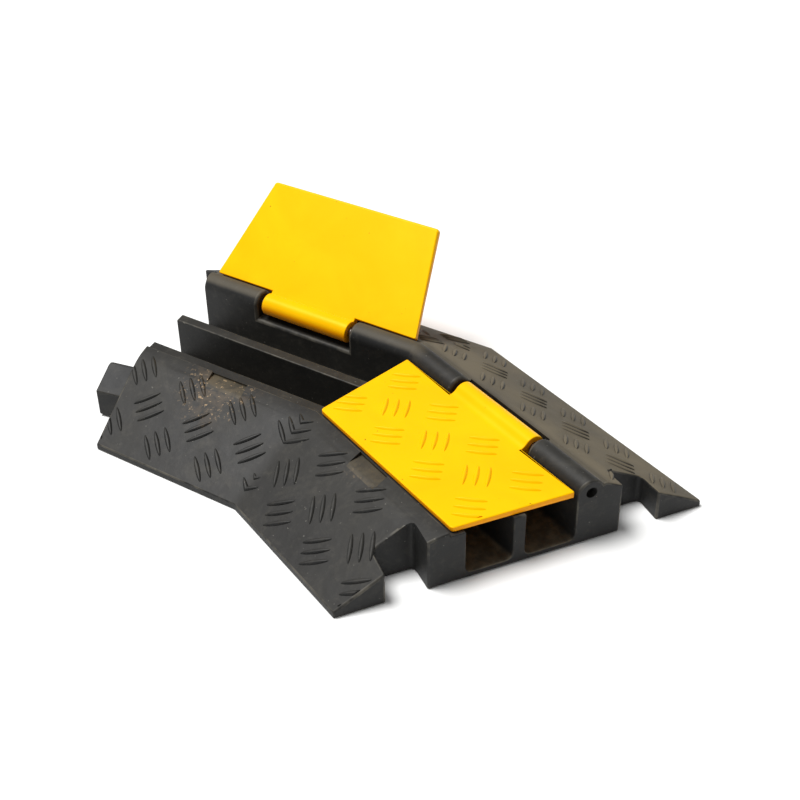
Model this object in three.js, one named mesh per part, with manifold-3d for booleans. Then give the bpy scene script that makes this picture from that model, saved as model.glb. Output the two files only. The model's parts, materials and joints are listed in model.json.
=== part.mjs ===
// Cable protector ramp, corner section: a moulded rubber body with two cable channels that turns
// 45 degrees in two straight legs, a hinged lid over each leg, and the steel pin of each hinge.
// Millimetres, +Z up. The origin is on the ground, in the middle of the mitre between the legs.
// +X points to the socket end and +Y to the outside of the bend, where the hinges are.
// Side +1 is the leg with the sockets and the closed lid, side -1 the leg with the tabs.
import * as THREE from 'three';
import { mergeVertices } from 'three/addons/utils/BufferGeometryUtils.js';
import Module from 'manifold-3d';

const wasm = await Module();
wasm.setup();

// Plan of the bend
const TURN = THREE.MathUtils.degToRad(45); // between the two end faces
const LEG_TURN = TURN / 2; // turn of one leg, from the mitre to its end face
const LEAN = LEG_TURN / 2; // angle of a leg's centreline to the X axis
const BEND_RADIUS = 440; // from the centre of the bend to the middle of an end face
const LEG_LENGTH = 2 * BEND_RADIUS * Math.sin(LEAN); // along the centreline of one leg

// Cross-section of the body, square to a leg: distance from the centreline, and height
const HALF_WIDTH = 125;
const EDGE_HEIGHT = 4.8; // upright edge at the foot of each ramp
const SHOULDER = { across: -63.5, up: 38.4 }; // top of the inner ramp
const PLATEAU_HEIGHT = 40; // beside the lid
const SEAT = { outer: -50.6, inner: -40.4, up: 37 }; // ledge that the lid's free edge lies on
const DIVIDER = { inner: -9, outer: -0.8 }; // wall between the channels
const FLOOR_HEIGHT = 4.3;
const FLOOR_ROUND = 5;
const RIM_ROUND = 1.2;
const FOOT_ROUND = 1.5;

// Hinge line, along the outer side of the channels
const HINGE = { across: 43, up: 39 };
const KNUCKLE_RADIUS = 9.2; // rubber bead that the pin is pushed through
const KNUCKLE_END = THREE.MathUtils.degToRad(25); // where the bead meets the outer ramp
const CREST = { across: 53.8, up: 43.6 }; // top of the outer ramp, the stop of an open lid
const RECESS = { half: 42, far: 53, up: 28.4, round: 3 }; // room for the lid's barrel

// Hinge pin
const PIN_RADIUS = 3.2;
const PIN_BORE_RADIUS = 3.5;
const PIN_START = 16; // from the mitre plane's middle, along the leg
const PIN_SET_BACK = 5; // from the end face
const PIN_CHAMFER = 0.6;
const MOUTH = { radius: 4.2, depth: 9 }; // wider mouth of the bore in the end face
const BLIND = 1; // the bore runs on past the pin

// Lid
const LID_TOP = 41.7;
const LID_THICKNESS = 4.4;
const LID_FREE_EDGE = -48.6;
const LID_HINGE_EDGE = 32.9;
const LID_GAP = 2.2; // from the mitre plane and the end face, along the leg
const LID_CORNER = 2.5;
const BARREL_RADIUS = 8.2;
const BARREL_HALF = 38;
const BARREL_FILLET = { across: 31.5, angle: 2.47 }; // between the lid's top and its barrel
const OPEN_ANGLE = THREE.MathUtils.degToRad(135);

// Couplings between sections, measured along an end face
const SOCKET = { near: 66.5, far: 93.8, depth: 21, round: 4 };
const TAB = { near: 68.8, far: 92.2, reach: 20, root: 8, drop: 2.2, up: 1.2, round: 4 };

// Finger notches in the inner plateau
const NOTCH = { middle: 82, shift: -2.2, half: 15.5, front: -65, up: 38.5, slant: -0.29 };

const CURVE_STEPS = 5;
const ROUND_SIDES = 28;
const PAST = 12; // how far a cutter runs past the body
const HAIR = 0.05; // keeps a cutter off a face that it would only graze

const RAMP_SLOPE = (CREST.up - EDGE_HEIGHT) / (HALF_WIDTH - CREST.across);

// A closed outline through corners given as [across, up, how far to round it].
function outline(corners) {
  const shape = new THREE.Shape();
  const points = corners.map(([across, up]) => new THREE.Vector2(across, up));
  points.forEach((corner, i) => {
    const round = corners[i][2] ?? 0;
    const back = points.at(i - 1).clone().sub(corner).setLength(round).add(corner);
    const on = points[(i + 1) % points.length].clone().sub(corner).setLength(round).add(corner);
    if (i === 0) shape.moveTo(back.x, back.y);
    else shape.lineTo(back.x, back.y);
    if (round > 0) shape.quadraticCurveTo(corner.x, corner.y, on.x, on.y);
  });
  shape.closePath();
  return shape;
}

// Points on a circle about the hinge line, as outline corners.
function arc(centre, radius, from, to, steps) {
  return Array.from({ length: steps + 1 }, (_, i) => {
    const angle = THREE.MathUtils.lerp(from, to, i / steps);
    return [centre.across + radius * Math.cos(angle), centre.up + radius * Math.sin(angle)];
  });
}

// An outline in (across, up) extruded along x.
function along(shape, from, to) {
  const depth = Math.abs(to - from);
  const geometry = new THREE.ExtrudeGeometry(shape, {
    depth, bevelEnabled: false, curveSegments: CURVE_STEPS,
  });
  const basis = new THREE.Matrix4().makeBasis(
    new THREE.Vector3(0, 1, 0), new THREE.Vector3(0, 0, 1), new THREE.Vector3(1, 0, 0),
  );
  return geometry.applyMatrix4(basis).translate(Math.min(from, to), 0, 0);
}

// A round bar along x, at the height and distance of the hinge line.
function bar(radius, from, to) {
  return new THREE.CylinderGeometry(radius, radius, Math.abs(to - from), ROUND_SIDES)
    .rotateZ(Math.PI / 2)
    .translate((from + to) / 2, HINGE.across, HINGE.up);
}

// A plan outline extruded upwards.
function upright(shape, from, to) {
  return new THREE.ExtrudeGeometry(shape, {
    depth: to - from, bevelEnabled: false, curveSegments: CURVE_STEPS,
  }).translate(0, 0, from);
}

// From a leg's own axes, x along its centreline, to the object's.
function onLeg(side, geometry) {
  return geometry.rotateZ(-side * LEAN);
}

// From an end face's own axes, x square to the face, to the object's.
function onEnd(side, geometry) {
  return geometry.rotateZ(-side * LEG_TURN).translate(
    side * BEND_RADIUS * Math.sin(LEG_TURN), BEND_RADIUS * (Math.cos(LEG_TURN) - 1), 0,
  );
}

function solid(geometry) {
  const bare = geometry.clone();
  bare.deleteAttribute('normal');
  bare.deleteAttribute('uv');
  const merged = mergeVertices(bare, 1e-4);
  return new wasm.Manifold(new wasm.Mesh({
    numProp: 3,
    vertProperties: new Float32Array(merged.attributes.position.array),
    triVerts: new Uint32Array(merged.index.array),
  }));
}

function mesh(name, shape, colour, roughness, metalness) {
  const { vertProperties, triVerts } = shape.getMesh();
  const geometry = new THREE.BufferGeometry();
  geometry.setAttribute('position', new THREE.BufferAttribute(vertProperties, 3));
  geometry.setIndex(new THREE.BufferAttribute(triVerts, 1));
  geometry.computeVertexNormals();
  const material = new THREE.MeshStandardMaterial({
    color: colour, roughness, metalness, flatShading: true,
  });
  const result = new THREE.Mesh(geometry, material);
  result.name = name;
  return result;
}

// Distance along a leg from its mitre's middle to its end face, at a distance from the centreline.
function legEnd(across) {
  return LEG_LENGTH + across * Math.tan(LEAN);
}

function bodySection() {
  return outline([
    [-HALF_WIDTH, 0],
    [-HALF_WIDTH, EDGE_HEIGHT, FOOT_ROUND],
    [SHOULDER.across, SHOULDER.up, 8],
    [SEAT.outer, PLATEAU_HEIGHT, RIM_ROUND],
    [SEAT.outer, SEAT.up],
    [SEAT.inner, SEAT.up, RIM_ROUND],
    [SEAT.inner, FLOOR_HEIGHT, FLOOR_ROUND],
    [DIVIDER.inner, FLOOR_HEIGHT, FLOOR_ROUND],
    [DIVIDER.inner, SEAT.up, RIM_ROUND],
    [DIVIDER.outer, SEAT.up, RIM_ROUND],
    [DIVIDER.outer, FLOOR_HEIGHT, FLOOR_ROUND],
    [HINGE.across - KNUCKLE_RADIUS, FLOOR_HEIGHT, FLOOR_ROUND],
    ...arc(HINGE, KNUCKLE_RADIUS, Math.PI, KNUCKLE_END, 12),
    [CREST.across, CREST.up, RIM_ROUND],
    [HALF_WIDTH, EDGE_HEIGHT, FOOT_ROUND],
    [HALF_WIDTH, 0],
  ]);
}

// The section extruded in two steps, whose three rings are then turned about the centre of the
// bend: one on each end face and one on the mitre plane, so that both legs come out straight.
function bentBar(section) {
  const geometry = new THREE.ExtrudeGeometry(section, {
    depth: 1, steps: 2, bevelEnabled: false, curveSegments: CURVE_STEPS,
  });
  const position = geometry.attributes.position;
  for (let i = 0; i < position.count; i += 1) {
    const radius = BEND_RADIUS + position.getX(i) / Math.cos(LEAN);
    const angle = (position.getZ(i) - 0.5) * TURN;
    const up = position.getY(i);
    position.setXYZ(i, radius * Math.sin(angle), radius * Math.cos(angle) - BEND_RADIUS, up);
  }
  return solid(geometry);
}

// Socket for a neighbour's tab, open above and below; flank is +1 outside the bend, -1 inside.
function socket(flank) {
  const [near, far] = [flank * SOCKET.near, flank * SOCKET.far];
  const plan = outline([
    [PAST, near],
    [-SOCKET.depth, near, SOCKET.round],
    [-SOCKET.depth, far, SOCKET.round],
    [PAST, far],
  ]);
  return solid(onEnd(1, upright(plan, -PAST, CREST.up + PAST)));
}

function tab(flank) {
  const top = (w) => EDGE_HEIGHT + RAMP_SLOPE * (HALF_WIDTH - w * Math.cos(LEAN)) - TAB.drop;
  const section = outline([
    [flank * TAB.near, TAB.up],
    [flank * TAB.near, top(TAB.near), TAB.round],
    [flank * TAB.far, top(TAB.far), RIM_ROUND],
    [flank * TAB.far, TAB.up],
  ]);
  return solid(onEnd(-1, along(section, -TAB.reach, TAB.root)));
}

function barrelRecess(side) {
  const section = outline([
    [HINGE.across - KNUCKLE_RADIUS - PAST, RECESS.up],
    [RECESS.far, RECESS.up, RECESS.round],
    [RECESS.far, CREST.up + PAST],
    [HINGE.across - KNUCKLE_RADIUS - PAST, CREST.up + PAST],
  ]);
  const middle = side * LEG_LENGTH / 2;
  return solid(onLeg(side, along(section, middle - RECESS.half, middle + RECESS.half)));
}

function pinBore(side) {
  const end = legEnd(HINGE.across);
  const bore = solid(onLeg(side, bar(PIN_BORE_RADIUS, side * (PIN_START - BLIND), side * (end + PAST))));
  const mouth = solid(onLeg(side, bar(MOUTH.radius, side * (end - MOUTH.depth), side * (end + PAST))));
  return bore.add(mouth);
}

function fingerNotch(side) {
  const seat = SEAT.up + HAIR;
  const section = outline([
    [NOTCH.front, NOTCH.up],
    [SEAT.outer, seat],
    [SEAT.outer + 2, seat],
    [SEAT.outer + 2, PLATEAU_HEIGHT + PAST],
    [NOTCH.front, PLATEAU_HEIGHT + PAST],
  ]);
  const middle = side * NOTCH.middle + NOTCH.shift;
  const slant = new THREE.Matrix4().makeShear(0, 0, NOTCH.slant, 0, 0, 0);
  const cutter = along(section, -NOTCH.half, NOTCH.half)
    .translate(0, -SEAT.outer, 0)
    .applyMatrix4(slant)
    .translate(middle, SEAT.outer, 0);
  return solid(onLeg(side, cutter));
}

function rubberBody() {
  let body = bentBar(bodySection());
  for (const flank of [1, -1]) {
    body = body.subtract(socket(flank)).add(tab(flank));
  }
  for (const side of [1, -1]) {
    body = body.subtract(barrelRecess(side)).subtract(pinBore(side)).subtract(fingerNotch(side));
  }
  return mesh('rubber_body', body, 0x46463f, 0.75, 0);
}

// One lid, closed, at its height and distance from the centreline, with its middle at x = 0.
function lidShape() {
  const edge = (across) => LEG_LENGTH / 2 + across * Math.tan(LEAN) - LID_GAP;
  const plan = outline([
    [edge(LID_FREE_EDGE), LID_FREE_EDGE, LID_CORNER],
    [edge(LID_HINGE_EDGE), LID_HINGE_EDGE, LID_CORNER / 2],
    [-edge(LID_HINGE_EDGE), LID_HINGE_EDGE, LID_CORNER / 2],
    [-edge(LID_FREE_EDGE), LID_FREE_EDGE, LID_CORNER],
  ]);
  const underside = LID_TOP - LID_THICKNESS;
  const under = Math.PI + Math.asin((HINGE.up - underside) / BARREL_RADIUS);
  const section = outline([
    [BARREL_FILLET.across, underside],
    [BARREL_FILLET.across, LID_TOP],
    [LID_HINGE_EDGE + 0.4, LID_TOP],
    ...arc(HINGE, BARREL_RADIUS, BARREL_FILLET.angle, under - 2 * Math.PI, 22),
  ]);
  const plate = solid(upright(plan, underside, LID_TOP));
  const barrel = solid(along(section, -BARREL_HALF, BARREL_HALF));
  const bore = solid(bar(PIN_BORE_RADIUS, -BARREL_HALF - PAST, BARREL_HALF + PAST));
  return plate.add(barrel).subtract(bore);
}

// Puts a piece made about the middle of the hinge line on its leg, swung open by an angle.
function hang(piece, side, along, angle) {
  const place = new THREE.Vector3(side * along, HINGE.across, HINGE.up);
  piece.position.copy(place.applyAxisAngle(new THREE.Vector3(0, 0, 1), -side * LEAN));
  piece.rotation.set(-angle, 0, -side * LEAN, 'ZYX');
  return piece;
}

function lid(name, side, angle) {
  const piece = mesh(name, lidShape(), 0xffd400, 0.4, 0);
  piece.geometry.translate(0, -HINGE.across, -HINGE.up);
  return hang(piece, side, LEG_LENGTH / 2, angle);
}

function hingePin(name, side) {
  const half = (legEnd(HINGE.across) - PIN_SET_BACK - PIN_START) / 2;
  const profile = [
    [0, -half],
    [PIN_RADIUS - PIN_CHAMFER, -half],
    [PIN_RADIUS, PIN_CHAMFER - half],
    [PIN_RADIUS, half - PIN_CHAMFER],
    [PIN_RADIUS - PIN_CHAMFER, half],
    [0, half],
  ].map(([r, y]) => new THREE.Vector2(r, y));
  const rod = solid(new THREE.LatheGeometry(profile, ROUND_SIDES).rotateZ(Math.PI / 2));
  return hang(mesh(name, rod, 0x9a9a98, 0.35, 1), side, PIN_START + half, 0);
}

const ramp = new THREE.Group();
ramp.add(
  rubberBody(),
  lid('lid_socket_leg', 1, 0),
  lid('lid_tab_leg', -1, OPEN_ANGLE),
  hingePin('hinge_pin_socket_leg', 1),
  hingePin('hinge_pin_tab_leg', -1),
);

export default ramp;
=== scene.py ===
import json
import math

import bmesh
import bpy
from mathutils import Matrix, Vector


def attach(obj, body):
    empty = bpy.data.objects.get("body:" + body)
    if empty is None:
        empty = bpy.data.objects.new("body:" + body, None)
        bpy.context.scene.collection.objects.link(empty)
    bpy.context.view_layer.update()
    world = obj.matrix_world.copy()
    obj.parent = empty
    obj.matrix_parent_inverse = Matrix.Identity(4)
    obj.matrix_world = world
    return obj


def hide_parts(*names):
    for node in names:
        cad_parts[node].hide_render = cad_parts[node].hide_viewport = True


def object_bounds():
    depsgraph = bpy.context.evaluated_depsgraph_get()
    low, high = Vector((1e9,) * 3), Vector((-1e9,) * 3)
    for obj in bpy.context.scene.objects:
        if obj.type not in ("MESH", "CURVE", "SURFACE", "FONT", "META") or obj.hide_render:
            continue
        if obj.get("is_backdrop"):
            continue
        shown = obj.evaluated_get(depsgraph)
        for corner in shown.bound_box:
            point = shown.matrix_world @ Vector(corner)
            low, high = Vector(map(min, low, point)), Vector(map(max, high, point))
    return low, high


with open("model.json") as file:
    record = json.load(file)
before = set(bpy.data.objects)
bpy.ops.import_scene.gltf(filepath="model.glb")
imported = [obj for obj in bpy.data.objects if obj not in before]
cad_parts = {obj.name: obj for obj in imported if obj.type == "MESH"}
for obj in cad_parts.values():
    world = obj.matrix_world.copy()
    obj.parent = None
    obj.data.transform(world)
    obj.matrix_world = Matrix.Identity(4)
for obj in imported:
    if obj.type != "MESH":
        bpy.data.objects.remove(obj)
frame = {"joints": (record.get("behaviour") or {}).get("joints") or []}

cad_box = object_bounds()

MM = 0.001
JOINT = {joint["name"]: joint for joint in frame["joints"]}["socket_leg_lid_hinge"]

# Plan, worked out from the hinge line
LEAN = math.atan2(JOINT["axis"][1], -JOINT["axis"][0])
LEG_TURN = 2 * LEAN
HINGE_AT = Vector(JOINT["pos_m"])
HINGE_UP = HINGE_AT.z
HINGE_ACROSS = HINGE_AT.x * math.sin(LEAN) + HINGE_AT.y * math.cos(LEAN)
HALF_LEG = HINGE_AT.x * math.cos(LEAN) - HINGE_AT.y * math.sin(LEAN)
LEG_LENGTH = 2 * HALF_LEG
BEND_RADIUS = LEG_LENGTH / (2 * math.sin(LEAN))

# Cross-section of the body, across and up. The zone of the rounded shoulder has an outer and an
# inner limit across and a lower limit up.
HALF_WIDTH = 125 * MM
EDGE_UP = 4.8 * MM
SHOULDER = (-63.5 * MM, 38.4 * MM)
SHOULDER_ROUND = 8 * MM
SHOULDER_ZONE = (-72 * MM, -58 * MM, 30 * MM)
PLATEAU_UP = 40 * MM
SEAT_OUTER, SEAT_INNER, SEAT_UP = -50.6 * MM, -40.4 * MM, 37 * MM
DIVIDER_INNER, DIVIDER_OUTER = -9 * MM, -0.8 * MM
FLOOR_UP = 4.3 * MM
FLOOR_ROUND = 5 * MM
KNUCKLE_RADIUS = 9.2 * MM
KNUCKLE_END = math.radians(25)
BEAD_TO_CREST, BEAD_TO_RAMP = 6 * MM, 8.5 * MM
CREST = (53.8 * MM, 43.6 * MM)
CREST_ROUND = 1.2 * MM

# Couplings, measured along an end face, and the hinge's recesses and bores
SOCKET_NEAR, SOCKET_FAR = 66.5 * MM, 93.8 * MM
SOCKET_DEPTH, SOCKET_ROUND = 21 * MM, 4 * MM
TAB_NEAR, TAB_FAR = 68.8 * MM, 92.2 * MM
TAB_REACH, TAB_ROOT, TAB_ROUND = 20 * MM, 8 * MM, 4 * MM
TAB_DROP, TAB_UP = 2.2 * MM, 1.2 * MM
RECESS_HALF, RECESS_FAR, RECESS_UP, RECESS_ROUND = 42 * MM, 53 * MM, 28.4 * MM, 3 * MM
BORE_RADIUS, MOUTH_RADIUS, MOUTH_DEPTH = 3.5 * MM, 3.8 * MM, 9 * MM
PIN_RADIUS, PIN_START, PIN_SET_BACK = 3.2 * MM, 16 * MM, 5 * MM

# Finger notches in the inner plateau
NOTCH_MIDDLE, NOTCH_SHIFT, NOTCH_HALF = 82 * MM, -2.2 * MM, 15.5 * MM
NOTCH_FRONT, NOTCH_UP, NOTCH_SLANT = -65 * MM, 38.5 * MM, -0.29

# Lid
LID_TOP, LID_UNDER = 41.7 * MM, 37.3 * MM
LID_FREE, LID_BACK = -48.6 * MM, 32.9 * MM
LID_GAP = 2.2 * MM
LID_CORNER = 2.5 * MM
BARREL_RADIUS, BARREL_HALF = 8.2 * MM, 38 * MM
FILLET_START, FILLET_BEND, FILLET_ANGLE = 30.9 * MM, LID_BACK + 1.2 * MM, 2.47
OPEN_ANGLE = math.radians(135)

# Treads: groups of three raised bars, turned by 45 degrees one way and the other
BAR_STEP = 7.5 * MM
BAR_LENGTH, BAR_WIDTH = 22 * MM, 3.6 * MM
RUBBER_BAR_UP, LID_BAR_UP = 1.4 * MM, 1.3 * MM
RUBBER_BAR_FLAT, LID_BAR_FLAT = 4, 2.2
BAR_SUNK, BAR_ROOT = 0.02 * MM, 0.4 * MM
PITCH = 44.4 * MM
MITRE_SHIFT = 2.5 * MM
END_CLEAR, LID_BAR_CLEAR = 1.6 * MM, 2 * MM
RISING, FALLING = math.radians(45), math.radians(-45)

# Middles of the rows of groups, up the slope from the foot of each ramp, and of each row's
# first group, along the leg
INNER_TREAD = (17.1 * MM, 38.7 * MM, 62.7 * MM)
OUTER_TREAD = (18.2 * MM, 38.7 * MM, 60.3 * MM)
INNER_RISING_FIRST, INNER_FALLING_FIRST = 14 * MM, 37 * MM
OUTER_RISING_FIRST, OUTER_FALLING_FIRST = -1.3 * MM, -23 * MM

# Rows of groups on a lid: across, first along from the middle, how many, turn
LID_ROWS = (
    (15 * MM, -68.3 * MM, 4, RISING),
    (-29 * MM, -68.3 * MM, 4, RISING),
    (-7 * MM, -45.8 * MM, 3, FALLING),
)

# Rounds of the edges
RUBBER_ROUND, LID_ROUND, MOULD_ROUND = 0.8 * MM, 0.8 * MM, 1.5 * MM
BEAD_ROUND, LID_UNDER_ROUND = 2.4 * MM, 1.7 * MM
MITRE_SOFT = 5 * MM

# Edges sharper than this are rounded, and edges sharper than a crease are shaded hard
CORNER = math.radians(40)
CREASE, BAR_CREASE = math.radians(35), math.radians(60)

# How far a cutter runs past what it cuts, and how far it keeps off a face that it would graze
PAST = 12 * MM
HAIR = 0.05 * MM

# How near counts as being at a place, and how near two points are welded
CLOSE, NEARBY = 0.01 * MM, 0.1 * MM
WELD = 0.02 * MM


def outline(corners, steps=5):
    """The points of a closed outline through (x, y, how far to round) corners."""
    points = []
    for i, corner in enumerate(corners):
        at = Vector(corner[:2])
        round_by = corner[2] if len(corner) > 2 else 0
        if round_by == 0:
            points.append(at)
            continue
        start = at + (Vector(corners[i - 1][:2]) - at).normalized() * round_by
        end = at + (Vector(corners[(i + 1) % len(corners)][:2]) - at).normalized() * round_by
        for k in range(steps + 1):
            t = k / steps
            points.append(start * (1 - t) ** 2 + at * 2 * t * (1 - t) + end * t * t)
    return points


def arc(radius, start, end, steps):
    """Points round the hinge line, across and up, from one angle to another."""
    angles = [start + (end - start) * i / steps for i in range(steps + 1)]
    return [(HINGE_ACROSS + radius * math.cos(a), HINGE_UP + radius * math.sin(a)) for a in angles]


def loft(name, rings):
    """A closed solid through rings of points, with flat ends."""
    mesh = bmesh.new()
    loops = [[mesh.verts.new(point) for point in ring] for ring in rings]
    for near, far in zip(loops, loops[1:]):
        for i in range(len(near)):
            mesh.faces.new((near[i - 1], near[i], far[i], far[i - 1]))
    mesh.faces.new(loops[0])
    mesh.faces.new(loops[-1])
    return from_bmesh(name, mesh)


def from_bmesh(name, mesh):
    """An object from a mesh in the making, with its faces turned outwards."""
    bmesh.ops.recalc_face_normals(mesh, faces=mesh.faces)
    data = bpy.data.meshes.new(name)
    mesh.to_mesh(data)
    mesh.free()
    piece = bpy.data.objects.new(name, data)
    bpy.context.scene.collection.objects.link(piece)
    return piece


def extruded(name, section, start, end, place):
    """A section in (across, up) run along x from start to end, then put in place."""
    return loft(name, [[place @ Vector((x, p[0], p[1])) for p in section] for x in (start, end)])


def upright(name, plan, low, high, place):
    """A plan run from one height to another, then put in place."""
    return loft(name, [[place @ Vector((p[0], p[1], z)) for p in plan] for z in (low, high)])


def round_bar(name, radius, start, end, place, sides=40):
    """A rod on the hinge line, then put in place."""
    section = arc(radius, 0, 2 * math.pi * (1 - 1 / sides), sides - 1)
    return extruded(name, section, start, end, place)


def leg(side):
    """From a leg's own axes to the object's."""
    return Matrix.Rotation(-side * LEAN, 4, "Z") @ Matrix.Scale(side, 4, (1, 0, 0))


def end_face(side):
    """From axes square to an end face and along it to the object's."""
    centre = Vector((side * math.sin(LEG_TURN), math.cos(LEG_TURN) - 1, 0)) * BEND_RADIUS
    turn = Matrix.Rotation(-side * LEG_TURN, 4, "Z") @ Matrix.Scale(side, 4, (1, 0, 0))
    return Matrix.Translation(centre) @ turn


def leg_end(across):
    """Distance along a leg to its end face."""
    return LEG_LENGTH + across * math.tan(LEAN)


def bake(piece):
    """Turns a piece's modifiers into its mesh."""
    shape = piece.evaluated_get(bpy.context.evaluated_depsgraph_get())
    mesh = bpy.data.meshes.new_from_object(shape)
    piece.modifiers.clear()
    old = piece.data
    piece.data = mesh
    bpy.data.meshes.remove(old)


def combine(piece, tools, operation):
    """Joins tools to a piece or cuts them from it."""
    for tool in tools:
        change = piece.modifiers.new(operation, "BOOLEAN")
        change.operation = operation
        change.solver = "EXACT"
        change.object = tool
    bake(piece)
    for tool in tools:
        mesh = tool.data
        bpy.data.objects.remove(tool)
        bpy.data.meshes.remove(mesh)


def gather(piece, others):
    """Puts other pieces' meshes into one piece, each still its own closed shell."""
    mesh = bmesh.new()
    for part in (piece, *others):
        mesh.from_mesh(part.data)
    put_back(mesh, piece)
    for part in others:
        data = part.data
        bpy.data.objects.remove(part)
        bpy.data.meshes.remove(data)


def cleaned(piece):
    """The piece's mesh to work on, without the scraps that cutting leaves."""
    mesh = bmesh.new()
    mesh.from_mesh(piece.data)
    bmesh.ops.remove_doubles(mesh, verts=mesh.verts, dist=WELD)
    return mesh


def put_back(mesh, piece):
    mesh.to_mesh(piece.data)
    mesh.free()


def is_corner(edge):
    return len(edge.link_faces) == 2 and edge.calc_face_angle() > CORNER


def round_edges(mesh, chosen, width, segments=4):
    """Rounds edges; the new faces are given the second material slot, to be found by."""
    bmesh.ops.bevel(
        mesh, geom=chosen, offset=width, segments=segments, profile=0.5, affect="EDGES",
        clamp_overlap=False, loop_slide=True, material=1,
    )


def mark_edge_wear_and_highlight(piece):
    """Turns the rounding's faces into an attribute that the materials read."""
    edge_wear_and_highlight = piece.data.attributes.new("edge_wear_and_highlight", "FLOAT", "FACE")
    edge_wear_and_highlight.data.foreach_set("value", [float(f.material_index > 0) for f in piece.data.polygons])
    for face in piece.data.polygons:
        face.material_index = 0


def shaded(piece, crease=CREASE):
    """Smooth shading that leaves flat faces flat, with hard edges at creases."""
    mesh = bmesh.new()
    mesh.from_mesh(piece.data)
    for face in mesh.faces:
        face.smooth = True
    for edge in mesh.edges:
        edge.smooth = len(edge.link_faces) == 2 and edge.calc_face_angle() < crease
    mesh.to_mesh(piece.data)
    mesh.free()
    normals = piece.modifiers.new("normals", "WEIGHTED_NORMAL")
    normals.weight = 100
    normals.keep_sharp = True


# Rubber body

def body_blank():
    """The section swept along both legs and mitred, softly, where they meet."""
    section = outline([
        (-HALF_WIDTH, 0),
        (-HALF_WIDTH, EDGE_UP),
        (*SHOULDER, SHOULDER_ROUND),
        (SEAT_OUTER, PLATEAU_UP),
        (SEAT_OUTER, SEAT_UP),
        (SEAT_INNER, SEAT_UP),
        (SEAT_INNER, FLOOR_UP, FLOOR_ROUND),
        (DIVIDER_INNER, FLOOR_UP, FLOOR_ROUND),
        (DIVIDER_INNER, SEAT_UP),
        (DIVIDER_OUTER, SEAT_UP),
        (DIVIDER_OUTER, FLOOR_UP, FLOOR_ROUND),
        (HINGE_ACROSS - KNUCKLE_RADIUS, FLOOR_UP, FLOOR_ROUND),
        *arc(KNUCKLE_RADIUS, math.pi, KNUCKLE_END, 14),
        (*CREST, CREST_ROUND),
        (HALF_WIDTH, EDGE_UP),
        (HALF_WIDTH, 0),
    ], steps=4)
    mitre = [(-across * math.tan(LEAN), across, up) for across, up in section]
    end = [(leg_end(across), across, up) for across, up in section]
    near_mitre = [(along + MITRE_SOFT, across, up) for along, across, up in mitre]
    stations = ((-1, end), (-1, near_mitre), (1, mitre), (1, near_mitre), (1, end))
    rings = [[leg(side) @ Vector(point) for point in ring] for side, ring in stations]
    return loft("rubber_ramp_body", rings)


def beside_shoulder(edge):
    """The inner socket's rim where it runs along the rounded shoulder, left sharp."""
    to_leg, to_end = leg(1).inverted(), end_face(1).inverted()
    from_end = [(to_end @ v.co).x for v in edge.verts]
    inside = all(-SOCKET_DEPTH - NEARBY < depth < NEARBY for depth in from_end)
    on_end = all(abs(depth) < CLOSE for depth in from_end)
    outer, inner, low = SHOULDER_ZONE
    beside = all(outer < (to_leg @ v.co).y < inner and v.co.z > low for v in edge.verts)
    return inside and beside and not on_end


def round_moulding(body):
    """The larger rounds of the moulding: end faces, sockets and the ends of the hinge beads."""
    mesh = cleaned(body)
    to_ends = [end_face(side).inverted() for side in (1, -1)]
    to_legs = [leg(side).inverted() for side in (1, -1)]

    def on_end(edge):
        return any(all(abs((to_end @ v.co).x) < CLOSE for v in edge.verts) for to_end in to_ends)

    def at_socket(edge):
        spots = [to_ends[0] @ v.co for v in edge.verts]
        return all(
            -SOCKET_DEPTH - NEARBY < spot.x < NEARBY
            and SOCKET_NEAR - NEARBY < abs(spot.y) < SOCKET_FAR + NEARBY
            for spot in spots
        )

    def at_bead_end(edge):
        for to_leg in to_legs:
            spots = [to_leg @ v.co for v in edge.verts]
            flat = all(abs(abs(s.x - HALF_LEG) - RECESS_HALF) < 2 * CLOSE for s in spots)
            if flat and all(s.z > RECESS_UP - NEARBY for s in spots):
                return all(s.y < HINGE_ACROSS + BEAD_TO_RAMP for s in spots)
        return False

    def in_channel(edge):
        """On a channel's floor or fillets, or on the lid's ledge."""
        for to_leg in to_legs:
            spots = [to_leg @ v.co for v in edge.verts]
            low = all(spot.z < FLOOR_UP + FLOOR_ROUND + NEARBY for spot in spots)
            within = all(SEAT_OUTER - NEARBY < spot.y < HINGE_ACROSS for spot in spots)
            on_ledge = all(spot.y < SEAT_INNER + NEARBY for spot in spots)
            if all(spot.x > 0 for spot in spots) and within and (low or on_ledge):
                return True
        return False

    def by_top(edge):
        """Beside a face that looks more or less upwards."""
        return max(face.normal.z for face in edge.link_faces) > 0.3

    def large(edge):
        if not (edge.is_convex and is_corner(edge)):
            return False
        at_end = on_end(edge)
        if beside_shoulder(edge) or in_channel(edge):
            return False
        return (by_top(edge) and at_end) or (at_socket(edge) and (by_top(edge) or at_end))

    bead_ends = [e for e in mesh.edges if is_corner(e) and e.is_convex and at_bead_end(e)]
    round_edges(mesh, bead_ends, BEAD_ROUND)
    round_edges(mesh, [edge for edge in mesh.edges if large(edge)], MOULD_ROUND)
    put_back(mesh, body)


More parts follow.
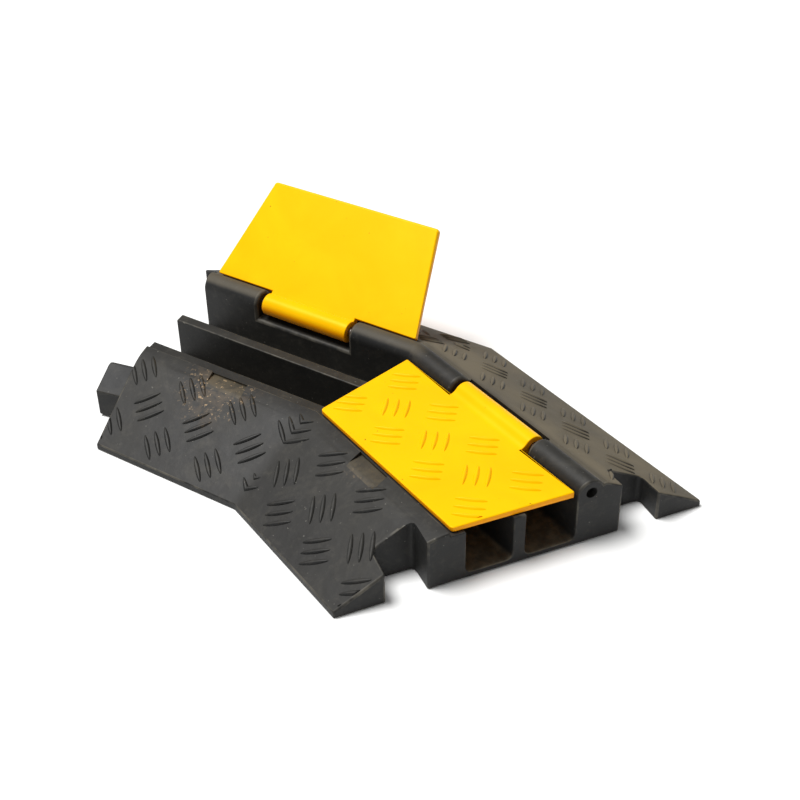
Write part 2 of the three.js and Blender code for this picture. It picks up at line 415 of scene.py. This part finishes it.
def round_rest(body):
    """The small rounds on the other corners, but for the notches and the recesses' crest side."""
    mesh = cleaned(body)
    to_legs = [leg(side).inverted() for side in (1, -1)]
    to_notches = [notch_place(side).inverted() for side in (1, -1)]

    def by_crest(spot):
        in_recess = abs(spot.x - HALF_LEG) < RECESS_HALF + NEARBY and spot.z > RECESS_UP
        return in_recess and HINGE_ACROSS + BEAD_TO_CREST < spot.y < RECESS_FAR + NEARBY

    def in_notch(spot):
        inside = abs(spot.x) < NOTCH_HALF + NEARBY
        return inside and NOTCH_FRONT - NEARBY < spot.y < SEAT_OUTER + NEARBY

    def left_sharp(edge):
        spots = [v.co for v in edge.verts]
        if beside_shoulder(edge):
            return True
        return any(all(by_crest(to_leg @ spot) for spot in spots) for to_leg in to_legs) or any(
            all(in_notch(to_notch @ spot) and spot.z > SEAT_UP for spot in spots)
            for to_notch in to_notches
        )

    corners = [edge for edge in mesh.edges if is_corner(edge) and not left_sharp(edge)]
    round_edges(mesh, corners, RUBBER_ROUND, 3)
    put_back(mesh, body)


def socket(flank):
    """Cuts one socket, flank +1 on the outer ramp and -1 on the inner."""
    plan = outline([
        (PAST, flank * SOCKET_NEAR),
        (-SOCKET_DEPTH, flank * SOCKET_NEAR, SOCKET_ROUND),
        (-SOCKET_DEPTH, flank * SOCKET_FAR, SOCKET_ROUND),
        (PAST, flank * SOCKET_FAR),
    ], steps=3)
    return upright("socket", plan, -PAST, CREST[1] + PAST, end_face(1))


def tab(flank):
    """One tab, rooted inside the body, with its top a little below the ramp."""
    slope = (CREST[1] - EDGE_UP) / (HALF_WIDTH - CREST[0])
    near_up, far_up = (
        EDGE_UP + slope * (HALF_WIDTH - reach * math.cos(LEAN)) - TAB_DROP
        for reach in (TAB_NEAR, TAB_FAR)
    )
    section = outline([
        (flank * TAB_NEAR, TAB_UP),
        (flank * TAB_NEAR, near_up, TAB_ROUND),
        (flank * TAB_FAR, far_up),
        (flank * TAB_FAR, TAB_UP),
    ], steps=3)
    tongue = extruded("tab", section, -TAB_ROOT, TAB_REACH, end_face(-1))
    plan = outline([
        (-2 * TAB_ROOT, flank * TAB_NEAR),
        (TAB_REACH, flank * TAB_NEAR, TAB_ROUND),
        (TAB_REACH, flank * TAB_FAR),
        (-2 * TAB_ROOT, flank * TAB_FAR),
    ], steps=3)
    combine(tongue, [upright("trim", plan, -PAST, CREST[1] + PAST, end_face(-1))], "INTERSECT")
    mesh = cleaned(tongue)
    round_edges(mesh, [edge for edge in mesh.edges if is_corner(edge)], RUBBER_ROUND, 3)
    put_back(mesh, tongue)
    return tongue


def recess(side):
    """Cuts the room for a lid's barrel."""
    section = outline([
        (HINGE_ACROSS - KNUCKLE_RADIUS - PAST, RECESS_UP),
        (RECESS_FAR, RECESS_UP, RECESS_ROUND),
        (RECESS_FAR, CREST[1] + PAST),
        (HINGE_ACROSS - KNUCKLE_RADIUS - PAST, CREST[1] + PAST),
    ])
    return extruded("recess", section, HALF_LEG - RECESS_HALF, HALF_LEG + RECESS_HALF, leg(side))


def bores(side):
    """Cuts the hinge pin's hole and its wider mouth."""
    end = leg_end(HINGE_ACROSS)
    bore = round_bar("bore", BORE_RADIUS, PIN_START - 1 * MM, end + PAST, leg(side))
    mouth = round_bar("mouth", MOUTH_RADIUS, end - MOUTH_DEPTH, end + PAST, leg(side))
    return [bore, mouth]


def notch_place(side):
    """Both notches slant the same way, so this works in unmirrored axes."""
    slant = Matrix.Identity(4)
    slant[0][1] = NOTCH_SLANT
    shift = Matrix.Translation((side * NOTCH_MIDDLE + NOTCH_SHIFT - NOTCH_SLANT * SEAT_OUTER, 0, 0))
    return Matrix.Rotation(-side * LEAN, 4, "Z") @ shift @ slant


def notch(side):
    """Cuts down to just over the lid's seat, and a little way past its edge."""
    bottom, back = SEAT_UP + HAIR, SEAT_OUTER + 2 * MM
    section = [
        (NOTCH_FRONT, NOTCH_UP),
        (SEAT_OUTER, bottom),
        (back, bottom),
        (back, PLATEAU_UP + PAST),
        (NOTCH_FRONT, PLATEAU_UP + PAST),
    ]
    return extruded("notch", section, -NOTCH_HALF, NOTCH_HALF, notch_place(side))


def bar_rings(height, flatness, across_steps=8, along_steps=16):
    """Rings of (along, across, up) over one bar, a lens in plan with a soft rounded back."""
    rings = []
    for i in range(1, along_steps):
        a = -1 + 2 * i / along_steps
        half = BAR_WIDTH / 2 * (1 - a * a) ** 0.7
        top = height * (1 - a ** 4)
        steps = [-1 + 2 * k / across_steps for k in range(across_steps + 1)]
        back = [(b * half, top * (1 - abs(b) ** flatness) ** 1.5 - BAR_SUNK) for b in steps]
        ring = [(-half, -BAR_ROOT), *back, (half, -BAR_ROOT)]
        rings.append([(a * BAR_LENGTH / 2, *point) for point in ring])
    return rings


def add_group(mesh, surface, along, across, turn, height, flatness):
    """Three closed bars side by side, turned about the middle of the group, on a surface."""
    def placed(x, y, up):
        return mesh.verts.new(surface(
            along + x * math.cos(turn) - y * math.sin(turn),
            across + x * math.sin(turn) + y * math.cos(turn),
            up,
        ))

    for k in (-1, 0, 1):
        loops = [
            [placed(x, y + k * BAR_STEP, up) for x, y, up in ring]
            for ring in bar_rings(height, flatness)
        ]
        tips = [placed(end * BAR_LENGTH / 2, k * BAR_STEP, -BAR_ROOT) for end in (-1, 1)]
        for near, far in zip(loops, loops[1:]):
            for i in range(len(near)):
                mesh.faces.new((near[i - 1], near[i], far[i], far[i - 1]))
        for loop, tip in ((loops[0], tips[0]), (loops[-1], tips[1])):
            for i in range(len(loop)):
                mesh.faces.new((loop[i - 1], loop[i], tip))


def ramp_surface(profile):
    """Turns (along, distance up the profile, height over it) on a leg into the object's axes."""
    points = [Vector(point) for point in profile]
    starts = [0]
    for near, far in zip(points, points[1:]):
        starts.append(starts[-1] + (far - near).length)

    def at(along, distance, up):
        i = max(k for k in range(len(points) - 1) if starts[k] <= max(distance, 0))
        run = (points[i + 1] - points[i]).normalized()
        spot = points[i] + run * (distance - starts[i])
        normal = Vector((-run.y, run.x)) * (1 if run.x > 0 else -1)
        spot = spot + normal * up
        return leg(1) @ Vector((along, *spot))
    return at


def tread_rows(side):
    """Rows of groups: surface, distance up the ramp, first along, how many, turn.

    The groups beside the mitre sit closer to the next ones, and the inner ramp's top row has one
    group fewer where the socket is.
    """
    inner = ramp_surface(outline([
        (-HALF_WIDTH, EDGE_UP),
        (*SHOULDER, SHOULDER_ROUND),
        (SEAT_OUTER, PLATEAU_UP),
    ], steps=12))
    outer = ramp_surface([(HALF_WIDTH, EDGE_UP), CREST])
    top_row = 2 if side > 0 else 3
    yield from (
        (inner, INNER_TREAD[0], INNER_RISING_FIRST + MITRE_SHIFT, 1, RISING),
        (inner, INNER_TREAD[0], INNER_RISING_FIRST + PITCH, 3, RISING),
        (inner, INNER_TREAD[1], INNER_FALLING_FIRST, 3, FALLING),
        (inner, INNER_TREAD[2], INNER_RISING_FIRST + MITRE_SHIFT, 1, RISING),
        (inner, INNER_TREAD[2], INNER_RISING_FIRST + PITCH, top_row, RISING),
        (outer, OUTER_TREAD[0], OUTER_RISING_FIRST, 5, RISING),
        (outer, OUTER_TREAD[1], OUTER_FALLING_FIRST, 5, FALLING),
        (outer, OUTER_TREAD[2], OUTER_RISING_FIRST, 5, RISING),
    )


def leg_tread(side):
    """One leg's bars, cut off at the mitre, where the other leg's meet them, and the end face."""
    mesh = bmesh.new()
    for surface, up_ramp, first, count, turn in tread_rows(side):
        for k in range(count):
            along = first + k * PITCH
            add_group(mesh, surface, along, up_ramp, turn, RUBBER_BAR_UP, RUBBER_BAR_FLAT)
    end = end_face(1)
    cuts = (
        (Vector((0, 0, 0)), Vector((-1, 0, 0))),
        (end @ Vector((-END_CLEAR, 0, 0)), (end.to_3x3() @ Vector((1, 0, 0)))),
    )
    for point, outwards in cuts:
        everything = [*mesh.verts, *mesh.edges, *mesh.faces]
        cut = bmesh.ops.bisect_plane(
            mesh, geom=everything, plane_co=point, plane_no=outwards, clear_outer=True,
        )
        edges = [part for part in cut["geom_cut"] if isinstance(part, bmesh.types.BMEdge)]
        if outwards.x > 0:
            bmesh.ops.holes_fill(mesh, edges=edges)
    bmesh.ops.scale(mesh, vec=(side, 1, 1), verts=mesh.verts)
    return from_bmesh("leg_tread", mesh)


def ramp_tread():
    """The bars of both legs, joined at the mitre and cut off at the sockets and the notches."""
    tread = leg_tread(1)
    gather(tread, [leg_tread(-1)])
    tread.name = "rubber_tread"
    mesh = cleaned(tread)
    bmesh.ops.recalc_face_normals(mesh, faces=mesh.faces)
    put_back(mesh, tread)
    combine(tread, [socket(1), socket(-1), notch(1), notch(-1)], "DIFFERENCE")
    return tread


body = body_blank()
combine(body, [socket(1), socket(-1), recess(1), recess(-1)], "DIFFERENCE")
combine(body, [notch(1), notch(-1)], "DIFFERENCE")
round_moulding(body)
round_rest(body)
combine(body, [*bores(1), *bores(-1)], "DIFFERENCE")
gather(body, [tab(1), tab(-1)])
mark_edge_wear_and_highlight(body)
shaded(body)
tread = ramp_tread()
shaded(tread, BAR_CREASE)


# Lids, made closed about the middle of their hinge line and then swung into place

def lid(name, side, angle):
    """A lid and its tread, opened by an angle."""
    hinge = Vector((0, HINGE_ACROSS, HINGE_UP))
    to_hinge = Matrix.Translation(-hinge)

    def plan_inside(margin):
        free, back = LID_FREE + margin, LID_BACK - margin
        free_half, back_half = (
            HALF_LEG + across * math.tan(LEAN) - LID_GAP - margin for across in (free, back)
        )
        return outline([
            (free_half, free, LID_CORNER),
            (back_half, back, LID_CORNER / 2),
            (-back_half, back, LID_CORNER / 2),
            (-free_half, free, LID_CORNER),
        ])

    under = math.pi + math.asin((HINGE_UP - LID_UNDER) / BARREL_RADIUS)
    curl = arc(BARREL_RADIUS, FILLET_ANGLE, under - 2 * math.pi, 28)
    bend = [Vector(point) for point in ((FILLET_START, LID_TOP), (FILLET_BEND, LID_TOP), curl[0])]
    fillet = [
        bend[0] * (1 - t) ** 2 + bend[1] * 2 * t * (1 - t) + bend[2] * t * t
        for t in (0, 0.2, 0.4, 0.6, 0.8)
    ]
    section = [(FILLET_START, LID_UNDER), *fillet, *curl]
    piece = upright(name, plan_inside(0), LID_UNDER, LID_TOP, to_hinge)
    barrel = extruded("barrel", section, -BARREL_HALF, BARREL_HALF, to_hinge)
    bore = round_bar("bore", BORE_RADIUS, -BARREL_HALF - PAST, BARREL_HALF + PAST, to_hinge)
    combine(piece, [barrel], "UNION")
    combine(piece, [bore], "DIFFERENCE")
    mesh = cleaned(piece)
    flat = math.radians(0.5)
    bmesh.ops.dissolve_limit(mesh, angle_limit=flat, verts=mesh.verts, edges=mesh.edges)
    low, back = LID_UNDER - HINGE_UP, LID_BACK - 2 * MM - HINGE_ACROSS

    def is_under(edge):
        """The plate's lower edge, all but the back one, where the barrel joins it."""
        level = all(abs(v.co.z - low) < CLOSE for v in edge.verts)
        return edge.is_convex and level and any(v.co.y < back for v in edge.verts)

    round_edges(mesh, [e for e in mesh.edges if is_corner(e) and is_under(e)], LID_UNDER_ROUND)
    round_edges(mesh, [e for e in mesh.edges if is_corner(e) and e.is_convex], LID_ROUND)
    put_back(mesh, piece)
    mark_edge_wear_and_highlight(piece)

    def on_lid(along, across, up):
        return to_hinge @ Vector((along, across, LID_TOP + up))

    mesh = bmesh.new()
    for across, first, count, turn in LID_ROWS:
        for k in range(count):
            add_group(mesh, on_lid, first + k * PITCH, across, turn, LID_BAR_UP, LID_BAR_FLAT)
    bars = from_bmesh(name + "_tread", mesh)
    trim = upright("trim", plan_inside(LID_BAR_CLEAR), -PAST, 2 * LID_TOP, to_hinge)
    combine(bars, [trim], "INTERSECT")

    lean = Matrix.Rotation(-side * LEAN, 4, "Z")
    middle = lean @ Vector((side * HALF_LEG, HINGE_ACROSS, HINGE_UP))
    swing = lean @ Matrix.Rotation(-angle, 4, "X")
    for part in (piece, bars):
        part.data.transform(Matrix.Translation(middle) @ swing)
        shaded(part, CREASE if part is piece else BAR_CREASE)
    return piece, bars


socket_lid, socket_lid_bars = lid("yellow_lid_socket_leg", 1, 0)
tab_lid, tab_lid_bars = lid("yellow_lid_tab_leg", -1, OPEN_ANGLE)


# Hinge pins, turned from rod, with domed ends

def pin(name, side):
    """A rod from near the mitre to just short of the end face.

    The profile is distance in from an end, in mm, and the share of the full radius there.
    """
    end = leg_end(HINGE_ACROSS) - PIN_SET_BACK
    profile = [(0.0, 0.25), (0.35, 0.72), (0.8, 0.93), (1.6, 1.0)]
    stations = [(PIN_START + x * MM, r) for x, r in profile]
    stations += [(end - x * MM, r) for x, r in reversed(profile)]
    sides = 48
    rings = []
    for x, r in stations:
        ring = arc(PIN_RADIUS * r, 0, 2 * math.pi * (sides - 1) / sides, sides - 1)
        rings.append([leg(side) @ Vector((x, p[0], p[1])) for p in ring])
    piece = loft(name, rings)
    shaded(piece)
    return piece


socket_pin = pin("steel_pin_socket_leg", 1)
tab_pin = pin("steel_pin_tab_leg", -1)


# Materials

class Nodes:
    """A new material and short calls that add shader nodes to it. Most return an output to use."""

    def __init__(self, name):
        self.material = bpy.data.materials.new(name)
        self.material.use_nodes = True
        self.tree = self.material.node_tree
        self.shader = self.tree.nodes["Principled BSDF"]

    def put(self, socket_in, value):
        """Links an output to an input, or sets the input to a plain value."""
        if isinstance(value, bpy.types.NodeSocket):
            self.tree.links.new(value, socket_in)
        else:
            socket_in.default_value = value

    def node(self, kind, inputs, **settings):
        made = self.tree.nodes.new(kind)
        for name, value in settings.items():
            setattr(made, name, value)
        for name, value in inputs.items():
            self.put(made.inputs[name], value)
        return made

    def maths(self, operation, *values):
        return self.node(
            "ShaderNodeMath", dict(enumerate(values)), operation=operation,
        ).outputs[0]

    def both(self, a, b):
        """The product, which for two masks is where both are."""
        return self.maths("MULTIPLY", a, b)

    def scaled(self, value, by, plus):
        """The value times by, plus plus."""
        return self.maths("MULTIPLY_ADD", value, by, plus)

    def along(self, where, direction):
        """How far a place is along a direction."""
        return self.node(
            "ShaderNodeVectorMath", {0: where, 1: direction}, operation="DOT_PRODUCT",
        ).outputs["Value"]

    def noise(self, where, scale, detail=3.0, roughness=0.55, distortion=0.0):
        return self.node("ShaderNodeTexNoise", {
            "Vector": where, "Scale": scale, "Detail": detail, "Roughness": roughness,
            "Distortion": distortion,
        }).outputs["Fac"]

    def ramp(self, value, low, high):
        """0 below low and 1 above high, with a smooth step between."""
        return self.node("ShaderNodeMapRange", {
            "Value": value, "From Min": low, "From Max": high,
        }, interpolation_type="SMOOTHSTEP").outputs[0]

    def mix(self, factor, a, b):
        made = self.tree.nodes.new("ShaderNodeMix")
        made.data_type = "RGBA"
        self.put(made.inputs["Factor"], factor)
        self.put(made.inputs[6], a)
        self.put(made.inputs[7], b)
        return made.outputs[2]

    def near(self, where, centre, radius, soft):
        """1 within radius of a point, fading to 0 over the distance soft."""
        distance = self.node(
            "ShaderNodeVectorMath", {0: where, 1: centre}, operation="DISTANCE",
        ).outputs["Value"]
        return self.ramp(distance, radius + soft, radius)

    def inside(self, where, place, half, front, back):
        """1 inside a patch, half to each side of its middle and from front to back, else 0."""
        to_patch = place.inverted()
        x, y = (
            self.maths("ADD", row[3], self.along(where, row[:3])) for row in (to_patch[0], to_patch[1])
        )
        soft = 0.4 * MM
        sides = self.ramp(self.maths("ABSOLUTE", x), half, half - soft)
        past_front, before_back = self.ramp(y, front, front + soft), self.ramp(y, back + soft, back)
        return self.both(sides, self.both(past_front, before_back))

    def edge_wear_and_highlight(self):
        """1 on rounded edges, from the pieces' own attribute, for edge wear and a painted highlight.
        """
        return self.node("ShaderNodeAttribute", {}, attribute_name="edge_wear_and_highlight").outputs["Fac"]

    def bump(self, height, strength, distance, normal=None):
        inputs = {"Height": height, "Strength": strength, "Distance": distance}
        if normal is not None:
            inputs["Normal"] = normal
        return self.node("ShaderNodeBump", inputs).outputs[0]


def rgb(*levels):
    """A linear colour from its 0 to 255 screen values."""
    linear = [((v / 255 + 0.055) / 1.055) ** 2.4 if v > 10 else v / 255 / 12.92 for v in levels]
    return (*linear, 1)


def rubber():
    n = Nodes("dusty_black_rubber")
    where = n.node("ShaderNodeTexCoord", {}).outputs["Object"]
    normal = n.node("ShaderNodeNewGeometry", {}).outputs["Normal"]
    facing_up = n.node("ShaderNodeSeparateXYZ", {0: normal}).outputs["Z"]
    place = n.node("ShaderNodeSeparateXYZ", {0: where}).outputs
    blotches = n.noise(where, 14, 5, 0.6, 0.6)
    fine = n.noise(where, 160, 4, 0.65)
    colour = n.mix(n.ramp(blotches, 0.35, 0.68), rgb(25, 25, 25), rgb(32, 32, 31))
    colour = n.mix(n.both(n.ramp(fine, 0.5, 0.75), 0.3), colour, rgb(68, 65, 59))
    # Rounded edges lightened: partly wear, partly a painted highlight along the edges
    rubbed_and_highlit = n.both(n.edge_wear_and_highlight(), n.ramp(n.noise(where, 60, 3, 0.6), 0.35, 0.7))
    colour = n.mix(n.both(rubbed_and_highlit, 0.55), colour, rgb(104, 99, 88))

    # Dust lies on what faces up, thickest on the outer ramp and on the tab leg's hinge beads
    upward = n.ramp(facing_up, 0.55, 0.85)
    across = n.maths("ADD", place["Y"], n.both(n.maths("ABSOLUTE", place["X"]), math.tan(LEAN)))
    outside = n.ramp(across, 47 * MM, 62 * MM)
    cover = n.both(upward, n.scaled(outside, 0.78, 0.05))
    on_bead = n.both(n.ramp(across, 30 * MM, 36 * MM), n.ramp(place["X"], 20 * MM, 0.0))
    on_bead = n.both(on_bead, n.ramp(place["Z"], 32 * MM, 36 * MM))
    cover = n.maths("MAXIMUM", cover, n.both(n.both(on_bead, upward), 0.45))
    cover = n.both(cover, n.scaled(n.ramp(blotches, 0.3, 0.7), 0.5, 0.6))

    # The channels' floors hold grit; the tabs get no dust, and are darkened as painted shade
    floor = n.both(n.ramp(place["Z"], 14 * MM, 5 * MM), n.ramp(facing_up, 0.1, 0.9))
    within = n.both(n.ramp(across, -42 * MM, -38 * MM), n.ramp(across, 36 * MM, 30 * MM))
    grit = n.scaled(n.ramp(fine, 0.35, 0.7), 0.5, 0.35)
    cover = n.maths("MAXIMUM", cover, n.both(n.both(floor, within), grit))
    tab_end = end_face(-1)
    outwards = tab_end.to_3x3() @ Vector((1, 0, 0))
    end_at = tab_end.translation.dot(outwards)
    tab_bare_and_shaded = n.ramp(n.along(where, outwards), end_at, end_at + 1 * MM)
    cover = n.both(cover, n.maths("SUBTRACT", 1.0, tab_bare_and_shaded))
    colour = n.mix(cover, colour, rgb(107, 98, 80))
    # Painted shade: the tabs' colour is darkened towards black
    colour = n.mix(n.both(tab_bare_and_shaded, 0.7), colour, rgb(20, 20, 20))

    # Wiped smears
    wiped = n.ramp(n.noise(where, 26, 5, 0.7, 2.2), 0.5, 0.72)
    colour = n.mix(n.both(wiped, 0.16), colour, rgb(84, 80, 70))

    # Painted shade: the channels' wall faces, where little light reaches, are darkened
    painted_wall_shade = n.both(within, n.ramp(facing_up, 0.5, 0.1))
    colour = n.mix(n.both(painted_wall_shade, 0.45), colour, rgb(14, 14, 13))

    # Pale specks
    flecks = n.ramp(n.noise(where, 480, 1, 0.5), 0.755, 0.785)
    colour = n.mix(n.both(flecks, 0.4), colour, rgb(126, 123, 114))

    # Dried mud in and round the finger notches, more on the tab leg
    on_ramp = n.ramp(across, SEAT_OUTER, SEAT_OUTER - 2 * MM)
    mud_noise = n.noise(where, 330, 4, 0.7)
    smear = n.noise(where, 90, 4, 0.6, 1.0)
    low = n.ramp(place["Z"], PLATEAU_UP - 0.2 * MM, PLATEAU_UP - 1.2 * MM)
    for side, spread, amount in ((-1, 26 * MM, 0.8), (1, 9 * MM, 0.15)):
        before_notch = Vector((side * NOTCH_MIDDLE + NOTCH_SHIFT, -62 * MM, 38 * MM))
        spot = Matrix.Rotation(-side * LEAN, 4, "Z") @ before_notch
        around = n.both(n.near(where, spot, spread * 0.5, spread), on_ramp)
        film = n.both(around, n.ramp(smear, 0.42, 0.62))
        colour = n.mix(n.both(film, 0.28 * amount), colour, rgb(118, 98, 74))
        in_notch = n.inside(where, notch_place(side), NOTCH_HALF, NOTCH_FRONT, SEAT_OUTER)
        settled = n.both(n.both(in_notch, low), n.scaled(n.ramp(smear, 0.3, 0.6), 0.35, 0.3))
        colour = n.mix(settled, colour, rgb(84, 75, 58))
        specks = n.both(around, n.ramp(mud_noise, 0.59, 0.64))
        colour = n.mix(n.both(specks, amount), colour, rgb(164, 138, 104))
    n.put(n.shader.inputs["Base Color"], colour)
    rough = n.scaled(blotches, 0.25, 0.42)
    n.put(n.shader.inputs["Roughness"], n.scaled(cover, 0.25, rough))
    n.shader.inputs["Specular IOR Level"].default_value = 0.3
    skin = n.bump(n.noise(where, 1400, 3, 0.6), 0.25, 0.0002)
    n.put(n.shader.inputs["Normal"], n.bump(n.noise(where, 55, 3, 0.5), 0.35, 0.0016, skin))
    return n.material


def plastic():
    n = Nodes("yellow_moulded_plastic")
    where = n.node("ShaderNodeTexCoord", {}).outputs["Object"]
    clouds = n.noise(where, 18, 4, 0.55, 0.8)
    colour = n.mix(n.ramp(clouds, 0.35, 0.7), rgb(246, 182, 0), rgb(248, 188, 0))
    normal = n.node("ShaderNodeNewGeometry", {}).outputs["Normal"]
    facing_up = n.node("ShaderNodeSeparateXYZ", {0: normal}).outputs["Z"]

    # Painted shade: deeper orange on faces turned sideways or down in the room, whatever the lid's
    # angle
    colour = n.mix(n.ramp(facing_up, 0.45, 0.0), colour, rgb(250, 160, 0))

    # Dark specks
    specks = n.noise(where, 420, 2, 0.5)
    colour = n.mix(n.ramp(specks, 0.765, 0.785), colour, rgb(92, 60, 10))
    n.put(n.shader.inputs["Base Color"], colour)
    n.put(n.shader.inputs["Roughness"], n.scaled(clouds, 0.16, 0.28))
    n.shader.inputs["Specular IOR Level"].default_value = 0.3
    n.shader.inputs["Specular Tint"].default_value = (1, 0.8, 0.15, 1)
    skin = n.bump(n.noise(where, 900, 2, 0.5), 0.08, 0.0002)
    n.put(n.shader.inputs["Normal"], n.bump(n.noise(where, 26, 2, 0.5), 0.25, 0.0015, skin))
    return n.material


def steel():
    n = Nodes("drawn_steel")
    where = n.node("ShaderNodeTexCoord", {}).outputs["Object"]
    stretched = n.node("ShaderNodeMapping", {"Vector": where, "Scale": (1, 12, 12)}).outputs[0]
    lines = n.noise(stretched, 260, 3, 0.6)
    n.put(n.shader.inputs["Base Color"], n.mix(lines, rgb(150, 149, 146), rgb(196, 195, 192)))
    n.shader.inputs["Metallic"].default_value = 1.0
    n.put(n.shader.inputs["Roughness"], n.scaled(lines, 0.25, 0.2))
    n.put(n.shader.inputs["Normal"], n.bump(lines, 0.15, 0.0001))
    return n.material


RUBBER, PLASTIC, STEEL = rubber(), plastic(), steel()
PIECES = (
    (body, "body", RUBBER, "black_rubber", "rubber_body"),
    (tread, "body", RUBBER, "black_rubber", None),
    (socket_lid, "socket_leg_lid", PLASTIC, "yellow_plastic", "lid_socket_leg"),
    (socket_lid_bars, "socket_leg_lid", PLASTIC, "yellow_plastic", None),
    (tab_lid, "tab_leg_lid", PLASTIC, "yellow_plastic", "lid_tab_leg"),
    (tab_lid_bars, "tab_leg_lid", PLASTIC, "yellow_plastic", None),
    (socket_pin, "body", STEEL, "pin_steel", "hinge_pin_socket_leg"),
    (tab_pin, "body", STEEL, "pin_steel", "hinge_pin_tab_leg"),
)
for piece, rides_on, material, slot, node in PIECES:
    piece.data.materials.clear()
    piece.data.materials.append(material)
    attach(piece, rides_on)
    if node:
        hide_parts(node)


# Floor, light and camera

def pale_floor():
    mesh = bmesh.new()
    bmesh.ops.create_circle(mesh, cap_ends=True, segments=96, radius=12)
    floor = from_bmesh("floor", mesh)
    floor.location.z = -0.2 * MM
    material = bpy.data.materials.new("pale_floor")
    material.use_nodes = True
    shader = material.node_tree.nodes["Principled BSDF"]
    shader.inputs["Base Color"].default_value = (0.86, 0.86, 0.85, 1)
    shader.inputs["Roughness"].default_value = 0.9
    shader.inputs["Specular IOR Level"].default_value = 0.1
    floor.data.materials.append(material)
    floor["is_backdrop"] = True


def area_light(name, at, size, power):
    light = bpy.data.lights.new(name, "AREA")
    light.shape = "DISK"
    light.size = size
    light.energy = power
    lamp = bpy.data.objects.new(name, light)
    bpy.context.scene.collection.objects.link(lamp)
    lamp.location = at
    lamp.rotation_euler = (-Vector(at)).to_track_quat("-Z", "Y").to_euler()


def camera():
    """The eye looks from the socket end's inner side, turned by azimuth and elevation."""
    azimuth, elevation, roll = math.radians(44.95), math.radians(35.41), math.radians(-0.89)
    target, distance = Vector((-7.2 * MM, 32.5 * MM, 0)), 0.958
    back = Vector((
        math.sin(azimuth) * math.cos(elevation),
        -math.cos(azimuth) * math.cos(elevation),
        math.sin(elevation),
    ))
    right = Vector((math.cos(azimuth), math.sin(azimuth), 0))
    up = back.cross(right)
    right, up = (
        right * math.cos(roll) + up * math.sin(roll),
        up * math.cos(roll) - right * math.sin(roll),
    )
    data = bpy.data.cameras.new("camera")
    data.lens = 59.4
    data.shift_x = 0.0025
    data.shift_y = 0.0027
    eye = bpy.data.objects.new("camera", data)
    turn = Matrix((right, up, back)).transposed().to_4x4()
    eye.matrix_world = Matrix.Translation(target + back * distance) @ turn
    bpy.context.scene.collection.objects.link(eye)
    bpy.context.scene.camera = eye


pale_floor()
area_light("key", (-1.2, -1.0, 4.2), 2.2, 262)
world = bpy.data.worlds.new("studio")
world.use_nodes = True
world.node_tree.nodes["Background"].inputs["Color"].default_value = (1, 1, 1, 1)
world.node_tree.nodes["Background"].inputs["Strength"].default_value = 0.3
bpy.context.scene.world = world
bpy.context.scene.view_settings.view_transform = "Standard"
camera()

visual_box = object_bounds()
sizes = {"cad": cad_box, "visual": visual_box}
{k: [[float(v) for v in corner] for corner in box] for k, box in sizes.items()}
